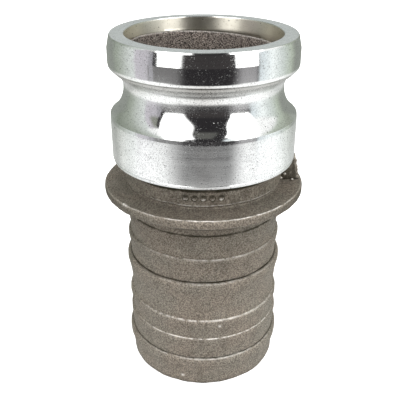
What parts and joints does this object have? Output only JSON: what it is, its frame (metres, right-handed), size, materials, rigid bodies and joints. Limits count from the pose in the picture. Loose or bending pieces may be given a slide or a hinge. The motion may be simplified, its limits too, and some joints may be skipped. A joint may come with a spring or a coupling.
{
  "type": "camlock coupling adapter",
  "caption": "Cam-and-groove plug adapter with a hose shank: turned plug head with a cam groove above a cast neck, hose stop collar and ridged hose barrel, bored through.",
  "frame": {"origin": "centre of the hose shank's end face, which is the lowest face", "axes": "+Z along the bore from the shank's end to the plug's sealing face; +X towards the gate stub; -Y towards the cast mark"},
  "size_m": [0.0842, 0.0842, 0.148],
  "materials": {
    "turned_bright": "bright fine-turned aluminium",
    "turned_satin": "satin turned aluminium with fine turning lines",
    "sand_cast": "dull grey-brown as-cast aluminium with sand grain",
    "cast_bore": "dull brown as-cast aluminium from a sand core"
  },
  "bodies": {
    "root": {"nose_rim": "turned_bright", "cam_seat": "turned_bright", "groove_slope": "turned_bright", "guide_land": "turned_satin", "neck": "sand_cast", "stop_collar": "sand_cast", "hose_shank": "sand_cast", "bore_wall": "cast_bore", "gate_stub": "sand_cast", "cast_mark": "sand_cast"}
  },
  "joints": []
}
